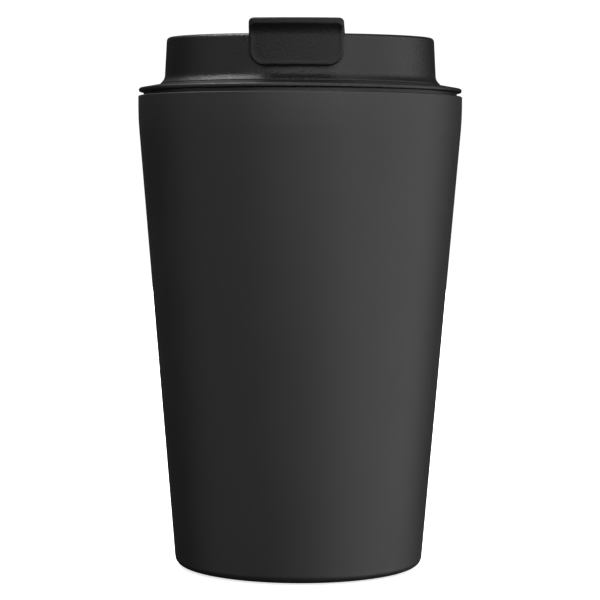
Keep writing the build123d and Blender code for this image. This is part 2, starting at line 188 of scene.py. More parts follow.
# ---- mesh helpers ----
def corner_arc(before, corner, after, rounding):
    """Points of the arc that rounds a corner of an outline."""
    back = (before - corner).normalized()
    ahead = (after - corner).normalized()
    opening = back.angle(ahead)
    straight = math.pi - 0.01
    under_half = 0.499
    if rounding <= 0 or opening > straight:
        return [corner]
    reach = rounding / math.tan(opening / 2)
    reach = min(reach, under_half * (before - corner).length, under_half * (after - corner).length)
    radius = reach * math.tan(opening / 2)
    centre = corner + (back + ahead).normalized() * (radius / math.sin(opening / 2))
    start = corner + back * reach - centre
    end = corner + ahead * reach - centre
    turn = math.pi - opening
    steps = max(2, math.ceil(turn / ARC_STEP))
    points = []
    for index in range(steps + 1):
        share = index / steps
        weight_start = math.sin((1 - share) * turn) / math.sin(turn)
        weight_end = math.sin(share * turn) / math.sin(turn)
        points.append(centre + start * weight_start + end * weight_end)
    return points


def outline_points(corners, closed=True, longest=4.0, guard=0.12):
    """An outline of (a, b, rounding) corners as points with a wear value: 1 on a rounded outer corner.
    Long stretches are cut up evenly, with a guard point near each end to hold the shading."""
    count = len(corners)
    places = [Vector((a, b)) for a, b, rounding in corners]
    area = sum(places[i - 1].cross(places[i]) for i in range(count))
    runs = []
    for index, (a, b, rounding) in enumerate(corners):
        before = places[index - 1]
        after = places[(index + 1) % count]
        turn = (places[index] - before).cross(after - places[index])
        wear = 1.0 if turn * area > 0 and 0 < rounding < WORN_BELOW else 0.0
        if not closed and index in (0, count - 1):
            arc = [places[index]]
        else:
            arc = corner_arc(before, places[index], after, rounding)
        runs.append([(point, wear) for point in arc])
    points = []
    for index, run in enumerate(runs):
        points.extend(run)
        if not closed and index == count - 1:
            break
        start = run[-1][0]
        end = runs[(index + 1) % count][0][0]
        length = (end - start).length
        if length < 4 * guard:
            continue
        inner = [guard]
        pieces = max(1, math.ceil((length - 2 * guard) / longest))
        for piece in range(1, pieces):
            inner.append(guard + (length - 2 * guard) * piece / pieces)
        inner.append(length - guard)
        points.extend((start + (end - start) * (distance / length), 0.0) for distance in inner)
    return points


def add_band(bm, lower, upper):
    """Faces between two rings of vertices; a ring of one vertex is a point."""
    if len(lower) == 1 and len(upper) == 1:
        return
    count = max(len(lower), len(upper))
    for step in range(count):
        following = (step + 1) % count
        if len(lower) == 1:
            bm.faces.new((lower[0], upper[step], upper[following]))
        elif len(upper) == 1:
            bm.faces.new((lower[step], lower[following], upper[0]))
        else:
            bm.faces.new((lower[step], lower[following], upper[following], upper[step]))


def ring_places(radius, height, segments, reach, centre_y):
    """Places round a circle, or round a slot along X whose ends lie at -reach and +reach."""
    places = []
    for index in range(segments):
        angle = 2 * math.pi * (index + 0.5) / segments
        x = radius * math.sin(angle)
        shift = math.copysign(reach, x) if reach else 0.0
        places.append((x + shift, centre_y - radius * math.cos(angle), height))
    return places


def turned_bmesh(points, segments=ROUND_SEGMENTS, closed=True, reach=0.0, centre_y=0.0):
    """Turns an outline of ((radius, height), wear) about a vertical axis, or draws it round a slot.
    An outline that isn't closed gets flat ends. The wear of each vertex is kept in a layer."""
    bm = bmesh.new()
    wear_layer = bm.verts.layers.float.new("wear")
    rings = []
    for point, wear in points:
        if point.x < ON_AXIS:
            ring = [bm.verts.new((0, centre_y, point.y))]
        else:
            places = ring_places(point.x, point.y, segments, reach, centre_y)
            ring = [bm.verts.new(place) for place in places]
        for vertex in ring:
            vertex[wear_layer] = wear
        rings.append(ring)
    count = len(rings)
    for index in range(count if closed else count - 1):
        add_band(bm, rings[index], rings[(index + 1) % count])
    if not closed:
        for ring in (rings[0], rings[-1]):
            if len(ring) > 2:
                bm.faces.new(ring)
    return bm


def mesh_object(name, bm):
    """A scene object from a bmesh that is given in millimetres."""
    bmesh.ops.recalc_face_normals(bm, faces=bm.faces)
    mesh = bpy.data.meshes.new(name)
    bm.to_mesh(mesh)
    bm.free()
    mesh.transform(Matrix.Scale(MM, 4))
    obj = bpy.data.objects.new(name, mesh)
    bpy.context.scene.collection.objects.link(obj)
    return obj


def settle(obj):
    """Replaces an object's mesh by what its modifiers make of it."""
    graph = bpy.context.evaluated_depsgraph_get()
    old = obj.data
    settled = bpy.data.meshes.new_from_object(
        obj.evaluated_get(graph), preserve_all_data_layers=True, depsgraph=graph)
    obj.modifiers.clear()
    obj.data = settled
    bpy.data.meshes.remove(old)
    settled.name = obj.name


def combine(obj, operation, tool_bm):
    """Joins a closed tool to an object or cuts it out, exactly, and deletes the tool."""
    tool = mesh_object("tool", tool_bm)
    modifier = obj.modifiers.new("combine", "BOOLEAN")
    modifier.operation = operation
    modifier.solver = "EXACT"
    modifier.object = tool
    settle(obj)
    tool_mesh = tool.data
    bpy.data.objects.remove(tool)
    bpy.data.meshes.remove(tool_mesh)


def finish_piece(obj, body, material, replaced):
    """Shades a piece smoothly between its sharp edges, puts its material in its slot, ties it to its body
    and hides the CAD node that it replaces.
    """
    bm = bmesh.new()
    bm.from_mesh(obj.data)
    bmesh.ops.remove_doubles(bm, verts=bm.verts, dist=SAME_PLACE)
    bm.to_mesh(obj.data)
    bm.free()
    for polygon in obj.data.polygons:
        polygon.use_smooth = True
    obj.data.set_sharp_from_angle(angle=SMOOTH_ANGLE)
    weighted = obj.modifiers.new("weighted", "WEIGHTED_NORMAL")
    weighted.keep_sharp = True
    settle(obj)
    obj.data.materials.clear()
    obj.data.materials.append(material)
    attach(obj, body)
    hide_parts(replaced)


def flared_column(radius, flares, reach=0.0, centre_y=0.0, segments=96):
    """A cutter for a hole whose edges are rounded: flares are (height, direction, rounding), lowest
    first, where direction is -1 at a lower face and +1 at an upper one."""
    overshoot = 1.0
    steps = 5
    points = []
    for height, direction, rounding in flares:
        arc = []
        for step in range(steps + 1):
            angle = math.pi / 2 * step / steps
            out = radius + rounding * (1 - math.sin(angle))
            along = height - direction * rounding * (1 - math.cos(angle))
            arc.append((Vector((out, along)), 1.0))
        wide = (Vector((radius + rounding, height + direction * overshoot)), 0.0)
        if direction < 0:
            points.extend([wide] + arc)
        else:
            points.extend(list(reversed(arc)) + [wide])
    return turned_bmesh(points, segments, closed=False, reach=reach, centre_y=centre_y)


def post_bmesh(lower, upper, reach, centre_y, segments):
    """A solid post, round or slot-shaped, from a lower to an upper (radius, height, rounding)."""
    core = 0.01
    outline = outline_points([(core, lower[1], 0), lower, upper, (core, upper[1], 0)], closed=False)
    return turned_bmesh(outline[1:-1], segments, closed=False, reach=reach, centre_y=centre_y)


def smooth_step(value, start, end):
    """0 up to start and 1 from end on, with a smooth rise between."""
    share = min(1.0, max(0.0, (value - start) / (end - start)))
    return share * share * (3 - 2 * share)


# ---- material helpers ----
class Maker:
    """Builds one node material around a Principled shader."""

    def __init__(self, name, **values):
        self.material = bpy.data.materials.new(name)
        self.material.use_nodes = True
        self.nodes = self.material.node_tree.nodes
        self.links = self.material.node_tree.links
        self.shader = self.nodes["Principled BSDF"]
        for socket, value in values.items():
            self.shader.inputs[socket.replace("_", " ")].default_value = value
        self.place = self.nodes.new("ShaderNodeTexCoord").outputs["Object"]

    def stretched(self, scale):
        mapping = self.nodes.new("ShaderNodeMapping")
        mapping.inputs["Scale"].default_value = scale
        self.links.new(self.place, mapping.inputs["Vector"])
        return mapping.outputs["Vector"]

    def noise(self, per_metre, detail=3.0, roughness=0.55, stretch=None, distortion=0.0):
        node = self.nodes.new("ShaderNodeTexNoise")
        node.inputs["Scale"].default_value = per_metre
        node.inputs["Detail"].default_value = detail
        node.inputs["Roughness"].default_value = roughness
        node.inputs["Distortion"].default_value = distortion
        source = self.stretched(stretch) if stretch else self.place
        self.links.new(source, node.inputs["Vector"])
        return node.outputs["Fac"]

    def cells(self, per_metre):
        node = self.nodes.new("ShaderNodeTexVoronoi")
        node.inputs["Scale"].default_value = per_metre
        self.links.new(self.place, node.inputs["Vector"])
        return node.outputs["Distance"]

    def distance(self, reach):
        """1 at a distance of reach metres from the origin, and in proportion nearer to it."""
        node = self.nodes.new("ShaderNodeVectorMath")
        node.operation = "LENGTH"
        self.links.new(self.place, node.inputs[0])
        return self.math("DIVIDE", node.outputs["Value"], reach)

    def ramp(self, source, stops):
        node = self.nodes.new("ShaderNodeValToRGB")
        elements = node.color_ramp.elements
        while len(elements) < len(stops):
            elements.new(0.5)
        for element, (position, colour) in zip(elements, stops):
            element.position = position
            element.color = (*colour, 1.0)
        self.links.new(source, node.inputs["Fac"])
        return node.outputs["Color"]

    def remap(self, source, low, high, from_low=0.3, from_high=0.7):
        node = self.nodes.new("ShaderNodeMapRange")
        node.inputs["From Min"].default_value = from_low
        node.inputs["From Max"].default_value = from_high
        node.inputs["To Min"].default_value = low
        node.inputs["To Max"].default_value = high
        self.links.new(source, node.inputs["Value"])
        return node.outputs["Result"]

    def wear(self):
        node = self.nodes.new("ShaderNodeAttribute")
        node.attribute_name = "wear"
        return node.outputs["Fac"]

    def math(self, operation, first, second):
        node = self.nodes.new("ShaderNodeMath")
        node.operation = operation
        for socket, value in zip(node.inputs, (first, second)):
            if isinstance(value, (int, float)):
                socket.default_value = value
            else:
                self.links.new(value, socket)
        return node.outputs[0]

    def mix(self, factor, varying, plain):
        """A varying colour where the factor is 0, and a plain one where it is 1."""
        node = self.nodes.new("ShaderNodeMix")
        node.data_type = "RGBA"
        self.links.new(factor, node.inputs["Factor"])
        self.links.new(varying, node.inputs["A"])
        node.inputs["B"].default_value = (*plain, 1.0)
        return node.outputs["Result"]

    def bump(self, height, depth_mm, strength, onto=None):
        node = self.nodes.new("ShaderNodeBump")
        node.inputs["Distance"].default_value = depth_mm * MM
        node.inputs["Strength"].default_value = strength
        self.links.new(height, node.inputs["Height"])
        if onto is not None:
            self.links.new(onto, node.inputs["Normal"])
        return node.outputs["Normal"]

    def into(self, socket, source):
        self.links.new(source, self.shader.inputs[socket])


def grey(value):
    return (value, value, value)


# ---- materials ----
def make_powder_coat():
    """Matte black powder coat: a fine orange peel over a finer grain, lighter on worn edges."""
    coat = Maker("charcoal_powder_coat", Specular_IOR_Level=0.5)
    cloud = coat.noise(per_metre=45.0, detail=4.0)
    grain = coat.noise(per_metre=2600.0, detail=2.0)
    peel = coat.noise(per_metre=420.0, detail=1.0)
    scuffs = coat.remap(coat.noise(per_metre=300.0), low=0.2, high=0.8)
    worn = coat.math("MULTIPLY", coat.wear(), scuffs)
    colour = coat.ramp(cloud, [(0.35, grey(0.0062)), (0.65, grey(0.0078))])
    coat.into("Base Color", coat.mix(worn, colour, grey(0.016)))
    patches = coat.remap(cloud, low=0.50, high=0.56)
    rough = coat.math("ADD", patches, coat.remap(grain, low=-0.02, high=0.02))
    polish = coat.math("MULTIPLY", worn, 0.10)
    coat.into("Roughness", coat.math("SUBTRACT", rough, polish))
    fine = coat.bump(grain, depth_mm=0.012, strength=0.6)
    coat.into("Normal", coat.bump(peel, depth_mm=0.02, strength=0.35, onto=fine))
    return coat.material


def make_polypropylene(name, tone, roughness, specular, grain_depth_mm):
    """Black moulded plastic with a spark-eroded grain, smoother and lighter on worn edges."""
    plastic = Maker(name, Specular_IOR_Level=specular)
    cloud = plastic.noise(per_metre=70.0, detail=3.0)
    grain = plastic.noise(per_metre=1900.0, detail=1.5, roughness=0.6)
    scuffs = plastic.remap(plastic.noise(per_metre=380.0), low=0.35, high=0.9)
    worn = plastic.math("MULTIPLY", plastic.wear(), scuffs)
    colour = plastic.ramp(cloud, [(0.3, grey(tone * 0.92)), (0.7, grey(tone * 1.08))])
    plastic.into("Base Color", plastic.mix(worn, colour, grey(tone * 1.5)))
    patches = plastic.remap(cloud, low=roughness - 0.02, high=roughness + 0.03)
    rough = plastic.math("ADD", patches, plastic.remap(grain, low=-0.03, high=0.03))
    polish = plastic.math("MULTIPLY", worn, 0.08)
    plastic.into("Roughness", plastic.math("SUBTRACT", rough, polish))
    plastic.into("Normal", plastic.bump(grain, depth_mm=grain_depth_mm, strength=0.8))
    return plastic.material


def make_brushed_steel():
    """Stainless steel with brush lines round the axis of the mug."""
    steel = Maker("stainless_steel", Metallic=1.0)
    lines = steel.noise(per_metre=1.0, detail=4.0, stretch=(60, 60, 5200))
    stain = steel.noise(per_metre=60.0, detail=4.0)
    colour = steel.ramp(stain, [(0.3, (0.56, 0.555, 0.54)), (0.7, (0.66, 0.65, 0.63))])
    steel.into("Base Color", steel.mix(steel.remap(lines, low=0.0, high=0.35), colour, (0.42, 0.41, 0.40)))
    dull = steel.remap(stain, low=0.0, high=0.05)
    steel.into("Roughness", steel.math("ADD", steel.remap(lines, low=0.24, high=0.36), dull))
    steel.into("Normal", steel.bump(lines, depth_mm=0.006, strength=0.5))
    return steel.material


def make_silicone(name, tone, roughness):
    """Soft satin rubber with a little sheen and a few specks of dust."""
    silicone = Maker(name, Specular_IOR_Level=0.4, Sheen_Weight=0.12, Sheen_Roughness=0.4)
    cloud = silicone.noise(per_metre=160.0, detail=3.0)
    dust = silicone.noise(per_metre=1500.0, detail=2.0)
    colour = silicone.ramp(cloud, [(0.3, grey(tone * 0.9)), (0.7, grey(tone * 1.1))])
    specks = silicone.remap(dust, low=0.0, high=0.25, from_low=0.6, from_high=0.8)
    silicone.into("Base Color", silicone.mix(specks, colour, grey(tone * 2 + 0.02)))
    silicone.into("Roughness", silicone.remap(dust, low=roughness - 0.05, high=roughness + 0.05))
    silicone.into("Normal", silicone.bump(dust, depth_mm=0.008, strength=0.5))
    return silicone.material


def make_foil():
    """Bright foil, dented and creased by hand wrapping."""
    foil = Maker("foil", Metallic=1.0)
    dents = foil.cells(per_metre=180.0)
    creases = foil.noise(per_metre=420.0, detail=5.0, distortion=1.5)
    foil.into("Base Color", foil.ramp(creases, [(0.3, (0.70, 0.70, 0.71)), (0.7, (0.86, 0.86, 0.87))]))
    foil.into("Roughness", foil.remap(creases, low=0.16, high=0.34))
    fine = foil.bump(creases, depth_mm=0.1, strength=0.7)
    foil.into("Normal", foil.bump(dents, depth_mm=0.4, strength=0.6, onto=fine))
    return foil.material


def make_dull_metal(name, dark, light, roughness):
    """A lumpy metal between two greys, such as solder or a sintered pellet."""
    metal = Maker(name, Metallic=1.0)
    lumps = metal.noise(per_metre=700.0, detail=5.0)
    metal.into("Base Color", metal.ramp(lumps, [(0.3, dark), (0.7, light)]))
    metal.into("Roughness", metal.remap(lumps, low=roughness - 0.08, high=roughness + 0.1))
    metal.into("Normal", metal.bump(lumps, depth_mm=0.06, strength=0.7))
    return metal.material


def make_tape():
    """Whitish adhesive tape with blotches where it has wetted the metal."""
    tape = Maker("adhesive_tape", Specular_IOR_Level=0.5)
    blotch = tape.noise(per_metre=260.0, detail=4.0)
    tape.into("Base Color", tape.ramp(blotch, [(0.35, (0.66, 0.64, 0.58)), (0.65, (0.78, 0.77, 0.72))]))
    tape.into("Roughness", tape.remap(blotch, low=0.25, high=0.45))
    tape.into("Normal", tape.bump(blotch, depth_mm=0.03, strength=0.5))
    return tape.material


powder_coat = make_powder_coat()
lid_plastic = make_polypropylene(
    "black_polypropylene", tone=0.0085, roughness=0.38, specular=0.32, grain_depth_mm=0.19)
# The flap's copy of the lid plastic is given a darker tone: painted shade that darkens the finger tab's
# face.
flap_plastic_shaded = make_polypropylene(
    "black_polypropylene_flap_shaded", tone=0.0055, roughness=0.42, specular=0.20, grain_depth_mm=0.14)
steel = make_brushed_steel()
seal_silicone = make_silicone("seal_silicone", tone=0.085, roughness=0.50)
stopper_silicone = make_silicone("stopper_silicone", tone=0.030, roughness=0.55)
foot_rubber = make_silicone("foot_rubber", tone=0.022, roughness=0.62)
foil = make_foil()
solder = make_dull_metal("solder", dark=(0.42, 0.42, 0.41), light=(0.62, 0.62, 0.60), roughness=0.42)
getter_alloy = make_dull_metal(
    "getter_alloy", dark=(0.10, 0.10, 0.105), light=(0.17, 0.17, 0.175), roughness=0.7)
tape = make_tape()

node_materials = {
    "outer_shell": powder_coat,
    "inner_liner": steel,
    "outer_base": steel,
    "vacuum_seal": solder,
    "getter": getter_alloy,
    "getter_strap": steel,
    "heat_shield": foil,
    "pad_adhesive": tape,
    "base_pad": foot_rubber,
    "lid_seal": seal_silicone,
    "lid_base": lid_plastic,
    "lid_cap": lid_plastic,
    "drink_passage_seal": seal_silicone,
    "vent_passage_seal": seal_silicone,
    "hinge_pin": steel,
    "flap": flap_plastic_shaded,
    "drink_stopper": stopper_silicone,
    "vent_stopper": stopper_silicone,
}
for node_name, material in node_materials.items():
    node_mesh = frame["nodes"][node_name].data
    node_mesh.materials.clear()
    node_mesh.materials.append(material)


# ---- cup ----
def cone_radius(z, inset=0.0):
    """Radius of the outer cone at height z, moved inwards square to its surface by inset."""
    return CONE_RADIUS + CONE_SLOPE * (z - STEEL_BOTTOM) - inset * CONE_SLANT


def make_shell():
    """The outer wall: a cone that runs into an upright mouth."""
    inner_bottom = STEEL_BOTTOM + SHELL_WALL
    inner_mouth = MOUTH_RADIUS - SHELL_WALL
    mouth_start = STEEL_BOTTOM + (MOUTH_RADIUS - CONE_RADIUS) / CONE_SLOPE
    inner_start = STEEL_BOTTOM + (inner_mouth - CONE_RADIUS + SHELL_WALL * CONE_SLANT) / CONE_SLOPE
    outline = outline_points([
        (BASE_RIM_RADIUS, STEEL_BOTTOM, 0.15),
        (CONE_RADIUS, STEEL_BOTTOM, BOTTOM_CORNER),
        (MOUTH_RADIUS, mouth_start, MOUTH_BLEND),
        (MOUTH_RADIUS, LIP_Z, LIP_ROUND),
        (inner_mouth, LIP_Z, 0),
        (inner_mouth, inner_start, 0),
        (cone_radius(inner_bottom, SHELL_WALL), inner_bottom, BOTTOM_CORNER - SHELL_WALL),
        (BASE_RIM_RADIUS, inner_bottom, 0.15),
    ])
    shell = mesh_object("shell_skin", turned_bmesh(outline))
    finish_piece(shell, "cup", powder_coat, "outer_shell")


def make_liner():
    """The inner wall: a deep-drawn cup with a ledge for the plug and a spun centre in its floor."""
    outside = SHELL_WALL + VACUUM_GAP
    inside = outside + LINER_WALL
    floor_under = liner_low.z
    floor_top = floor_under + LINER_WALL
    outer_mouth = MOUTH_RADIUS - SHELL_WALL
    inner_mouth = outer_mouth - LINER_WALL
    ledge_drop = 0.4
    centre_radius = 11.0
    centre_drop = 0.35
    centre_slope = 1.0
    outline = outline_points([
        (0, floor_under, 0),
        (cone_radius(floor_under, outside), floor_under, 5.5),
        (cone_radius(LEDGE_BOTTOM_Z - ledge_drop, outside), LEDGE_BOTTOM_Z - ledge_drop, 0.8),
        (outer_mouth, LEDGE_TOP_Z - ledge_drop, 1.5),
        (outer_mouth, LIP_Z, 0),
        (inner_mouth, LIP_Z, 0.35),
        (inner_mouth, LEDGE_TOP_Z, 1.0),
        (cone_radius(LEDGE_BOTTOM_Z, inside), LEDGE_BOTTOM_Z, 1.3),
        (cone_radius(floor_top, inside), floor_top, 5.0),
        (centre_radius + centre_slope, floor_top, 2.0),
        (centre_radius, floor_top - centre_drop, 2.0),
        (0, floor_top - centre_drop, 0),
    ])
    liner = mesh_object("liner_skin", turned_bmesh(outline))
    finish_piece(liner, "cup", steel, "inner_liner")


def make_foot_pad():
    """The rubber foot, with three moulded grooves in its underside."""
    radius = pad_high.x
    top = pad_high.z
    groove_depth = 0.35
    groove_half = 0.5
    groove_draft = 0.1
    corners = [(0, 0, 0)]
    for groove in (9.0, 15.0, 21.0):
        corners.extend([
            (groove - groove_half, 0, 0.12),
            (groove - groove_half + groove_draft, groove_depth, 0.2),
            (groove + groove_half - groove_draft, groove_depth, 0.2),
            (groove + groove_half, 0, 0.12),
        ])
    corners.extend([(radius, 0, 0.4), (radius, top, 0.2), (0, top, 0)])
    pad = mesh_object("foot_pad_skin", turned_bmesh(outline_points(corners, longest=2.0, guard=0.08)))
    finish_piece(pad, "cup", foot_rubber, "base_pad")


# ---- seal ----
def make_seal():
    """The silicone ring in the groove of the lid: a band with three drooping fins."""
    bottom = seal_low.z
    top = seal_high.z
    tip = seal_high.x
    inner = GROOVE_RADIUS + GROOVE_GAP
    root = 40.6
    fin_count = 3
    fin_start = 0.12
    fin_tip = 0.60
    fin_end = 0.86
    pitch = (top - bottom) / fin_count
    corners = [(inner, bottom, 0.15), (root, bottom, 0.12)]
    for index in range(fin_count):
        level = bottom + pitch * index
        corners.extend([
            (root, level + fin_start, 0.05),
            (tip, level + fin_tip, 0.10),
            (tip, level + fin_end, 0.10),
            (root, level + fin_end, 0.12),
        ])
    corners.extend([(root, top, 0.12), (inner, top, 0.15)])
    outline = outline_points(corners, longest=1.5, guard=0.05)
    seal = mesh_object("seal_skin", turned_bmesh(outline))
    finish_piece(seal, "seal", seal_silicone, "lid_seal")


# ---- lid ----
def make_lid_base():
    """Flange, collar and hollow plug, with the drinking and vent passages standing on its floor."""
    under = PLUG_BOTTOM_Z + PLUG_DISH
    dish_radius = 26.0
    dish_edge_radius = 33.5
    outline = outline_points([
        (0, under, 0),
        (dish_radius, under, 8.0),
        (dish_edge_radius, PLUG_BOTTOM_Z, 4.0),
        (PLUG_RADIUS, PLUG_BOTTOM_Z, 1.5),
        (PLUG_RADIUS, RETAINER_BOTTOM_Z, 0.3),
        (RETAINER_RADIUS, RETAINER_BOTTOM_Z, 0.4),
        (RETAINER_RADIUS, seal_low.z - GROOVE_GAP, 0.2),
        (GROOVE_RADIUS, seal_low.z - GROOVE_GAP, 0),
        (GROOVE_RADIUS, seal_high.z + GROOVE_GAP, 0),
        (COLLAR_RADIUS, seal_high.z + GROOVE_GAP, 0.25),
        (COLLAR_RADIUS, FLANGE_UNDER_Z, 0.2),
        (FLANGE_RADIUS, FLANGE_UNDER_Z, 0.4),
        (FLANGE_RADIUS, FLANGE_EDGE_Z, 0.5),
        (CAP_FOOT_RADIUS, SEAT_Z, 0),
        (LID_BORE, SEAT_Z, 0),
        (LID_BORE, PLUG_FLOOR_Z, 1.0),
        (0, PLUG_FLOOR_Z, 0),
    ])
    base = mesh_object("lid_base_skin", turned_bmesh(outline))
    inside = PLUG_FLOOR_Z - BURIED
    combine(base, "UNION", post_bmesh(
        (DRINK_TUBE_RADIUS, inside, 0), (DRINK_TUBE_RADIUS - 0.15, TUBE_TOP_Z, 0.2),
        DRINK_REACH, DRINK_Y, segments=64))
    combine(base, "UNION", post_bmesh(
        (VENT_TUBE_RADIUS, inside, 0), (VENT_TUBE_RADIUS - 0.1, TUBE_TOP_Z, 0.2),
        0.0, VENT_Y, segments=48))
    combine(base, "DIFFERENCE", flared_column(
        DRINK_RADIUS, [(under, -1, 0.7), (TUBE_TOP_Z, 1, 0.25)], DRINK_REACH, DRINK_Y))
    combine(base, "DIFFERENCE", flared_column(
        VENT_RADIUS, [(under, -1, 0.4), (TUBE_TOP_Z, 1, 0.2)], 0.0, VENT_Y, segments=48))
    finish_piece(base, "lid", lid_plastic, "lid_base")


def slope_rim(bm):
    """Tips the top of the neck: the rim falls towards the drinking side, the deck stays level."""
    level_below = DECK_Z + 1.0
    sloped_above = RIM_Z - 1.5
    for vertex in bm.verts:
        share = smooth_step(vertex.co.z, level_below, sloped_above)
        vertex.co.z += RIM_SLOPE * vertex.co.y * share


def lug_outline():
    """The side view of a hinge lug in (y, z): a round head on a foot that spreads to the deck."""
    spread = 1.1
    spread_places = [(1.0, DECK_Z - BURIED), (0.6, DECK_Z + 0.4), (0.2, DECK_Z + 1.2), (0.0, HINGE_Z)]
    head_steps = 18
    back = [Vector((HINGE_Y - BARREL_RADIUS - spread * share, z)) for share, z in spread_places]
    front = [Vector((HINGE_Y + BARREL_RADIUS + spread * share, z)) for share, z in spread_places]
    head = []
    for step in range(1, head_steps):
        angle = math.pi * step / head_steps
        head.append(Vector((math.cos(angle), math.sin(angle))) * BARREL_RADIUS + Vector((HINGE_Y, HINGE_Z)))
    return back[:1] + front + head + back[:0:-1]


def lug_bmesh(side):
    """A hinge lug with rounded edges, on the side -1 or +1."""
    places = lug_outline()
    count = len(places)
    normals = []
    for index in range(count):
        along = (places[(index + 1) % count] - places[index - 1]).normalized()
        normals.append(Vector((along.y, -along.x)))
    edge = 0.35
    edge_steps = 3
    levels = []
    for step in range(edge_steps, -1, -1):
        angle = math.pi / 2 * step / edge_steps
        levels.append((LUG_INNER_X + edge * (1 - math.sin(angle)), edge * (1 - math.cos(angle))))
    levels.extend([(LUG_INNER_X + LUG_OUTER_X - x, inset) for x, inset in reversed(levels)])
    bm = bmesh.new()
    wear_layer = bm.verts.layers.float.new("wear")
    rings = []
    for x, inset in levels:
        ring = []
        for place, normal in zip(places, normals):
            y, z = place - normal * inset
            vertex = bm.verts.new((side * x, y, z))
            vertex[wear_layer] = 1.0
            ring.append(vertex)
        rings.append(ring)
    for lower, upper in zip(rings, rings[1:]):
        add_band(bm, lower, upper)
    bm.faces.new(rings[0])
    bm.faces.new(rings[-1])
    return bm


def pin_bmesh(radius, half_length, rounding, segments=48):
    """A round bar on the hinge axis with rounded ends, which is a turned outline laid along X."""
    outline = outline_points(
        [(0.0, -half_length, 0), (radius, -half_length, rounding), (radius, half_length, rounding),
         (0.0, half_length, 0)], closed=False, longest=2.0)
    bm = turned_bmesh(outline, segments, closed=False)
    bm.transform(Matrix.Translation((0, HINGE_Y, HINGE_Z)) @ Matrix.Rotation(math.pi / 2, 4, "Y"))
    return bm


def make_lid_cap():
    """The upper moulding: flared neck, drinking deck and the two lugs of the hinge."""
    foot_top = SEAT_Z + CAP_FOOT_EDGE
    outline = outline_points([
        (0, DECK_UNDER_Z, 0),
        (SPIGOT_RADIUS - NECK_WALL, DECK_UNDER_Z, 1.0),
        (SPIGOT_RADIUS - NECK_WALL, SPIGOT_BOTTOM_Z, 0),
        (SPIGOT_RADIUS, SPIGOT_BOTTOM_Z, 0.3),
        (SPIGOT_RADIUS, SEAT_Z, 0),
        (CAP_FOOT_RADIUS, SEAT_Z, 0),
        (CAP_FOOT_RADIUS, foot_top, 0),
        (NECK_FOOT_RADIUS, foot_top + CAP_FOOT_RISE, NECK_FLARE),
        (NECK_TOP_RADIUS, RIM_Z, 1.35),
        (NECK_TOP_RADIUS - NECK_WALL, RIM_Z, 0.5),
        (NECK_FOOT_RADIUS - NECK_WALL, DECK_Z, 1.5),
        (0, DECK_Z, 0),
    ], longest=1.2)
    bm = turned_bmesh(outline)
    slope_rim(bm)
    cap = mesh_object("lid_cap_skin", bm)
    for side in (-1, 1):
        combine(cap, "UNION", lug_bmesh(side))
    combine(cap, "DIFFERENCE", pin_bmesh(PIN_RADIUS + LUG_BORE_FIT, LUG_OUTER_X + 1, rounding=0.1))
    combine(cap, "DIFFERENCE", flared_column(
        DRINK_RADIUS, [(DECK_UNDER_Z, -1, 0.2), (DECK_Z, 1, 0.5)], DRINK_REACH, DRINK_Y))
    combine(cap, "DIFFERENCE", flared_column(
        VENT_RADIUS, [(DECK_UNDER_Z, -1, 0.2), (DECK_Z, 1, 0.7)], 0.0, VENT_Y, segments=48))
    finish_piece(cap, "lid", lid_plastic, "lid_cap")


def make_hinge_pin():
    pin = mesh_object("hinge_pin_skin", pin_bmesh(PIN_RADIUS, pin_high.x, rounding=0.4))
    finish_piece(pin, "lid", steel, "hinge_pin")


# ---- flap ----
def scoop_depth(z):
    """How far the tab lies behind its lip at height z: a round edge under the lip runs into a hollow,
    which ends in a flat face."""
    below = SCOOP_START_Z - z
    turn_height = SCOOP_EDGE_RADIUS * math.sin(SCOOP_TURN)
    full_height = (SCOOP_EDGE_RADIUS + SCOOP_RADIUS) * math.sin(SCOOP_TURN)
    if below <= 0:
        return 0.0
    if below < turn_height:
        return SCOOP_EDGE_RADIUS - math.sqrt(SCOOP_EDGE_RADIUS ** 2 - below ** 2)
    to_flat = max(0.0, full_height - below)
    full_depth = (SCOOP_EDGE_RADIUS + SCOOP_RADIUS) * (1 - math.cos(SCOOP_TURN))
    return full_depth - (SCOOP_RADIUS - math.sqrt(SCOOP_RADIUS ** 2 - to_flat ** 2))


def tab_border_y(z):
    """Front of the border of the finger tab, which stands a little proud of the face inside it."""
    return TAB_LIP_Y + scoop_depth(z) - min(BORDER_RISE, scoop_depth(z))


def flap_line():
    """Places on the outside of the flap in (y, z), from the back of the barrel to the tab's bottom edge."""
    barrel_steps = 12
    line = []
    for step in range(1, barrel_steps):
        angle = math.pi / 2 * step / barrel_steps
        line.append((HINGE_Y + BARREL_RADIUS * math.cos(angle), HINGE_Z + BARREL_RADIUS * math.sin(angle)))
    arm = outline_points([
        (HINGE_Y, HINGE_Z + BARREL_RADIUS, 0),
        (ARM_BEND_Y, FLAP_REAR_TOP_Z, 6.0),
        (TAB_LIP_Y, FLAP_TOP_Z, 0.9),
        (TAB_LIP_Y, SCOOP_START_Z, 0),
    ], closed=False, longest=1.6)
    line.extend((point.x, point.y) for point, wear in arm)
    face_step = 0.2
    edge_room = 0.8
    steps = math.floor((SCOOP_START_Z - TAB_BOTTOM_Z - edge_room) / face_step)
    for step in range(1, steps + 1):
        z = SCOOP_START_Z - face_step * step
        line.append((tab_border_y(z), z))
    edge_steps = 6
    for step in range(edge_steps + 1):
        angle = math.pi / 2 * step / edge_steps
        line.append((tab_border_y(TAB_BOTTOM_Z) + TAB_EDGE * (1 - math.cos(angle)),
                     TAB_BOTTOM_Z + TAB_EDGE * (1 - math.sin(angle))))
    return line


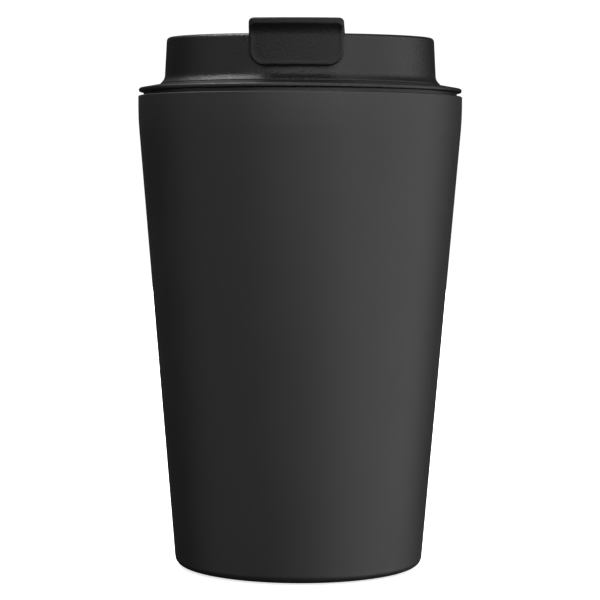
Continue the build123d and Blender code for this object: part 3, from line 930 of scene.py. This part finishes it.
def flap_inside(place):
    """The place on the inside of the flap that faces a place on its outside."""
    y, z = place
    corner_y = TAB_INNER_Y + TAB_INNER_CORNER
    corner_z = ARM_UNDER_Z - TAB_INNER_CORNER
    if y > HINGE_Y:
        return (y, 2 * HINGE_Z - z)
    if y > HINGE_Y - ARM_TAPER:
        share = (HINGE_Y - y) / ARM_TAPER
        return (y, HINGE_Z - BARREL_RADIUS + share * (ARM_UNDER_Z - HINGE_Z + BARREL_RADIUS))
    if y > corner_y:
        return (y, ARM_UNDER_Z)
    if z < corner_z:
        return (TAB_INNER_Y, z)
    turn = math.atan2(corner_y - y, max(z - corner_z, 0.0))
    return (corner_y - TAB_INNER_CORNER * math.sin(turn), corner_z + TAB_INNER_CORNER * math.cos(turn))


def flap_half_width(y, z):
    """Half the flap's width: narrow between the lugs, full at the tab, rounded at the tab's bottom."""
    arm_end_y = TAB_LIP_Y + 5.0
    if y > arm_end_y:
        widen = smooth_step(-y, -WIDEN_START_Y, -WIDEN_END_Y)
        return BARREL_HALF_WIDTH + (FLAP_HALF_WIDTH - BARREL_HALF_WIDTH) * widen
    corner = TAB_BOTTOM_CORNER
    height = z - TAB_BOTTOM_Z
    if height >= corner:
        return FLAP_HALF_WIDTH
    return FLAP_HALF_WIDTH - corner + math.sqrt(max(0.0, corner ** 2 - (corner - height) ** 2))


def border_share(x, z):
    """0 on the tab's raised border and 1 on the face inside it, by the distance from the tab's outline."""
    corner = TAB_BOTTOM_CORNER
    across = abs(x) - (FLAP_HALF_WIDTH - corner)
    down = (TAB_BOTTOM_Z + corner) - z
    if across > 0 and down > 0:
        distance = corner - math.hypot(across, down)
    else:
        distance = corner - max(across, down)
    return smooth_step(distance, BORDER_START, BORDER_END)


def flap_section(half, thickness, outer_round, inner_round):
    """A cut across the flap, once round, as (x, level above the inside, wear)."""
    across_count = 44
    outer_steps = 6
    inner_steps = 3
    shares = [math.sin(math.pi / 2 * (2 * index / across_count - 1)) for index in range(across_count + 1)]
    outside = [(share * (half - outer_round), thickness, 0.0) for share in shares]
    inside = [(-share * (half - inner_round), 0.0, 0.0) for share in shares]
    right = []
    for step in range(1, outer_steps + 1):
        angle = math.pi / 2 * step / outer_steps
        x = half - outer_round * (1 - math.sin(angle))
        right.append((x, thickness - outer_round * (1 - math.cos(angle)), 1.0))
    for step in range(inner_steps):
        angle = math.pi / 2 * step / inner_steps
        x = half - inner_round * (1 - math.cos(angle))
        right.append((x, inner_round * (1 - math.sin(angle)), 0.6))
    left = [(-x, level, wear) for x, level, wear in reversed(right)]
    return outside + right + inside + left


def flap_bmesh():
    """The arm and the tab as one strip of sections, with the tab's face hollowed and curved in plan."""
    bm = bmesh.new()
    wear_layer = bm.verts.layers.float.new("wear")
    plan_centre = TAB_LIP_Y + TAB_PLAN_RADIUS
    tab_back_y = TAB_LIP_Y + 2.0
    face_top_z = FLAP_TOP_Z - 2.0
    outer_share = 0.62
    inner_share = 0.3
    rings = []
    for place in flap_line():
        outer = Vector(place)
        inner = Vector(flap_inside(place))
        thickness = (outer - inner).length
        up = (outer - inner) / thickness
        on_tab = outer.x < tab_back_y
        side_round = TAB_SIDE_ROUND if on_tab and outer.y < face_top_z else ARM_SIDE_ROUND
        outer_round = min(side_round, outer_share * thickness)
        inner_round = min(INSIDE_ROUND, inner_share * thickness)
        ring = []
        for x, level, wear in flap_section(flap_half_width(*place), thickness, outer_round, inner_round):
            y, z = inner + up * level
            if on_tab and outer.y < SCOOP_START_Z and level == thickness:
                y += (TAB_LIP_Y + scoop_depth(z) - tab_border_y(z)) * border_share(x, z)
            curve = (plan_centre - y) - math.sqrt((plan_centre - y) ** 2 - x * x)
            curve *= smooth_step(-y, -PLAN_START_Y, -PLAN_END_Y)
            vertex = bm.verts.new((x, y + curve, z))
            vertex[wear_layer] = wear
            ring.append(vertex)
        rings.append(ring)
    for lower, upper in zip(rings, rings[1:]):
        add_band(bm, lower, upper)
    bm.faces.new(rings[0])
    bm.faces.new(rings[-1])
    return bm


def make_flap():
    """The arm and its hooked finger tab, with the bosses that carry the two stoppers."""
    flap = mesh_object("flap_skin", flap_bmesh())
    boss_top = ARM_UNDER_Z + BURIED
    combine(flap, "UNION", post_bmesh(
        (DRINK_BOSS_RADIUS, BOSS_BOTTOM_Z, 0.2), (DRINK_BOSS_RADIUS, boss_top, 0),
        DRINK_BOSS_REACH, DRINK_Y, segments=64))
    combine(flap, "UNION", post_bmesh(
        (VENT_BOSS_RADIUS, BOSS_BOTTOM_Z, 0.2), (VENT_BOSS_RADIUS, boss_top, 0),
        0.0, VENT_Y, segments=48))
    combine(flap, "DIFFERENCE", pin_bmesh(PIN_RADIUS + PIN_FIT, LUG_OUTER_X, rounding=0.1))
    finish_piece(flap, "flap", flap_plastic_shaded, "flap")


def make_drink_stopper():
    """A soft plug for the drinking slot, with a bead round its seat."""
    top = drink_stopper_high.z
    tip = drink_stopper_low.z
    inner = DRINK_BOSS_RADIUS + STOPPER_FIT
    outer = (drink_stopper_high.y - drink_stopper_low.y) / 2
    bead_bottom = STOPPER_SEAT_Z - 0.15
    outline = outline_points([
        (inner, top - STOPPER_DEPTH, 0),
        (inner, top, 0.15),
        (outer, top, 0.5),
        (outer, STOPPER_SEAT_Z, 0.45),
        (4.0, STOPPER_SEAT_Z, 0.1),
        (3.9, bead_bottom, 0.1),
        (3.6, bead_bottom, 0.1),
        (3.5, STOPPER_SEAT_Z, 0.1),
        (3.2, STOPPER_SEAT_Z, 0.2),
        (2.5, tip, 0.5),
        (1.2, tip, 0),
    ], closed=False, longest=1.5, guard=0.06)
    bm = turned_bmesh(outline, segments=96, closed=False, reach=DRINK_REACH, centre_y=DRINK_Y)
    stopper = mesh_object("drink_stopper_skin", bm)
    finish_piece(stopper, "flap", stopper_silicone, "drink_stopper")


def make_vent_stopper():
    """A small round cap with a cone that closes the vent."""
    top = vent_stopper_high.z
    tip = vent_stopper_low.z
    inner = VENT_BOSS_RADIUS + STOPPER_FIT
    outer = vent_stopper_high.x
    outline = outline_points([
        (0, top - STOPPER_DEPTH, 0),
        (inner, top - STOPPER_DEPTH, 0),
        (inner, top, 0.15),
        (outer, top, 0.4),
        (outer, STOPPER_SEAT_Z, 0.4),
        (1.2, STOPPER_SEAT_Z, 0.15),
        (0.5, tip, 0.2),
        (0, tip, 0),
    ], longest=1.5, guard=0.06)
    stopper = mesh_object("vent_stopper_skin", turned_bmesh(outline, segments=72, centre_y=VENT_Y))
    finish_piece(stopper, "flap", stopper_silicone, "vent_stopper")


make_shell()
make_liner()
make_foot_pad()
make_seal()
make_lid_base()
make_lid_cap()
make_hinge_pin()
make_flap()
make_drink_stopper()
make_vent_stopper()


# ---- stage, light and camera ----
FLOOR_RADIUS = 4.0             # metres
FLOOR_PAINTED_SHADE_RADIUS = 0.5        # metres; the floor's glow is dimmed towards the mug, a painted shade round its foot, and rises to white at this distance
BODY_AIM_Z = 75                # heights in mm that the lights point at
LID_AIM_Z = 130


def make_floor():
    """A white floor that the camera sees, but that throws no light on the mug. Its glow is dimmed near the
    mug, a painted shade round the mug's foot.
    """
    bm = bmesh.new()
    bmesh.ops.create_circle(bm, cap_ends=True, radius=FLOOR_RADIUS, segments=128)
    mesh = bpy.data.meshes.new("floor")
    bm.to_mesh(mesh)
    bm.free()
    floor = bpy.data.objects.new("floor", mesh)
    bpy.context.scene.collection.objects.link(floor)
    paint = Maker("floor_paint", Roughness=0.9, Emission_Strength=1.0)
    blotch = paint.noise(per_metre=3.0)
    paint.into("Base Color", paint.ramp(blotch, [(0.3, grey(0.80)), (0.7, grey(0.83))]))
    # painted shade: the floor's glow is darker near the mug and rises to white further out
    glow_with_painted_shade = paint.ramp(paint.distance(FLOOR_PAINTED_SHADE_RADIUS), [(0.0, grey(0.70)), (1.0, grey(1.0))])
    paint.into("Emission Color", glow_with_painted_shade)
    mesh.materials.append(paint.material)
    floor.visible_diffuse = False
    floor.visible_glossy = False


def make_softbox(name, azimuth, elevation, distance, size, watts, aim_z, glossy=True):
    """A rectangular light at an azimuth (0 is the drinking side, 90 is +X) and a distance in metres.
    One that isn't glossy leaves no reflection, so it lights its own side of the mug and no edges."""
    turn = math.radians(azimuth)
    rise = math.radians(elevation)
    aim = Vector((0, 0, aim_z * MM))
    direction = Vector((math.sin(turn) * math.cos(rise), -math.cos(turn) * math.cos(rise), math.sin(rise)))
    light = bpy.data.lights.new(name, "AREA")
    light.shape = "RECTANGLE"
    light.size, light.size_y = size
    light.energy = watts
    lamp = bpy.data.objects.new(name, light)
    lamp.location = aim + direction * distance
    lamp.rotation_mode = "QUATERNION"
    lamp.rotation_quaternion = direction.to_track_quat("Z", "Y")
    lamp.visible_glossy = glossy
    bpy.context.scene.collection.objects.link(lamp)


def make_world():
    """White where the camera looks past the mug, and a dim fill on everything else."""
    world = bpy.data.worlds.new("studio")
    bpy.context.scene.world = world
    world.use_nodes = True
    nodes = world.node_tree.nodes
    links = world.node_tree.links
    nodes.clear()
    path = nodes.new("ShaderNodeLightPath")
    seen = nodes.new("ShaderNodeBackground")
    seen.inputs["Color"].default_value = (1.0, 1.0, 1.0, 1.0)
    seen.inputs["Strength"].default_value = 1.05
    fill = nodes.new("ShaderNodeBackground")
    fill.inputs["Color"].default_value = (0.95, 0.97, 1.0, 1.0)
    fill.inputs["Strength"].default_value = 0.02
    blend = nodes.new("ShaderNodeMixShader")
    output = nodes.new("ShaderNodeOutputWorld")
    links.new(path.outputs["Is Camera Ray"], blend.inputs["Fac"])
    links.new(fill.outputs["Background"], blend.inputs[1])
    links.new(seen.outputs["Background"], blend.inputs[2])
    links.new(blend.outputs["Shader"], output.inputs["Surface"])


def make_camera():
    """The camera fitted to the photo: lengths in millimetres, angles in radians."""
    distance = 585.3
    height = 105.17
    azimuth = math.radians(1.6)
    pitch_down = 0.0578
    roll = 0.0042
    sideways = 0.17
    sensor = 36.0
    focal_share = 2183.0 / 600.0
    camera = bpy.data.cameras.new("camera")
    camera.sensor_width = sensor
    camera.lens = sensor * focal_share
    camera.clip_start = 0.01
    camera.clip_end = 50.0
    holder = bpy.data.objects.new("camera", camera)
    right = Vector((math.cos(azimuth), math.sin(azimuth), 0))
    outward = Vector((math.sin(azimuth), -math.cos(azimuth), 0))
    holder.location = (outward * distance + right * sideways + Vector((0, 0, height))) * MM
    turn = Matrix.Rotation(azimuth, 4, "Z") @ Matrix.Rotation(math.pi / 2 - pitch_down, 4, "X")
    holder.rotation_mode = "QUATERNION"
    holder.rotation_quaternion = (turn @ Matrix.Rotation(roll, 4, "Z")).to_quaternion()
    bpy.context.scene.collection.objects.link(holder)
    bpy.context.scene.camera = holder


make_floor()
make_world()
make_camera()
make_softbox(
    "key_right", azimuth=73, elevation=3, distance=1.2, size=(2.5, 2.0), watts=25, aim_z=BODY_AIM_Z)
make_softbox(
    "front", azimuth=4, elevation=20, distance=1.5, size=(1.8, 1.5), watts=17, aim_z=BODY_AIM_Z)
make_softbox(
    "fill_left", azimuth=-64, elevation=2, distance=1.2, size=(1.4, 1.4), watts=3.2, aim_z=BODY_AIM_Z)
make_softbox(
    "top_left", azimuth=-112, elevation=66, distance=1.1, size=(0.8, 0.8), watts=15, aim_z=LID_AIM_Z)
make_softbox(
    "top_right", azimuth=40, elevation=62, distance=1.2, size=(1.2, 1.0), watts=4, aim_z=LID_AIM_Z)
make_softbox(
    "back", azimuth=180, elevation=20, distance=1.3, size=(2.0, 1.6), watts=60, aim_z=BODY_AIM_Z,
    glossy=False)
bpy.context.scene.view_settings.view_transform = "Standard"
